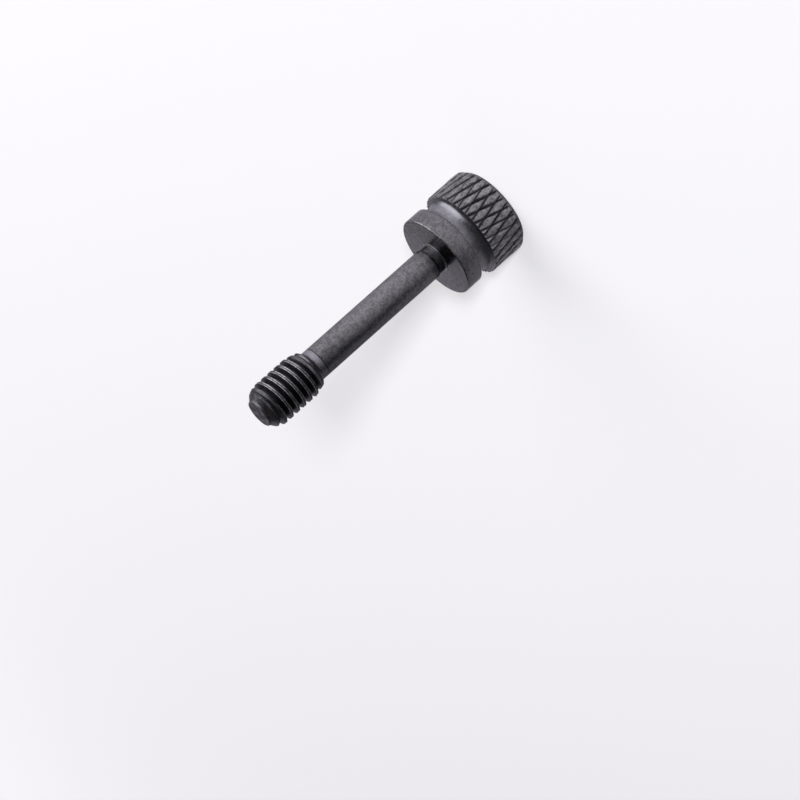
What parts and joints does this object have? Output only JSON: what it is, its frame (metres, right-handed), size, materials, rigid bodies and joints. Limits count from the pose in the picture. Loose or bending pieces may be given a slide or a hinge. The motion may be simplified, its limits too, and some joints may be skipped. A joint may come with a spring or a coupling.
{
  "type": "captive thumb screw",
  "caption": "Slim captive thumb screw with a diamond-knurled head, waisted neck, plain collar, thin shank and threaded end.",
  "frame": {"origin": "centre of the head's flat end face, on which the screw stands", "axes": "+Z along the screw's axis, from the head's end face to the threaded tip"},
  "size_m": [0.008, 0.008, 0.0266],
  "materials": {
    "black_oxide_steel": "black oxide on turned steel, satin, faint turning marks, knurl tips slightly brighter"
  },
  "bodies": {
    "root": {"thumb_screw": "black_oxide_steel"}
  },
  "joints": []
}
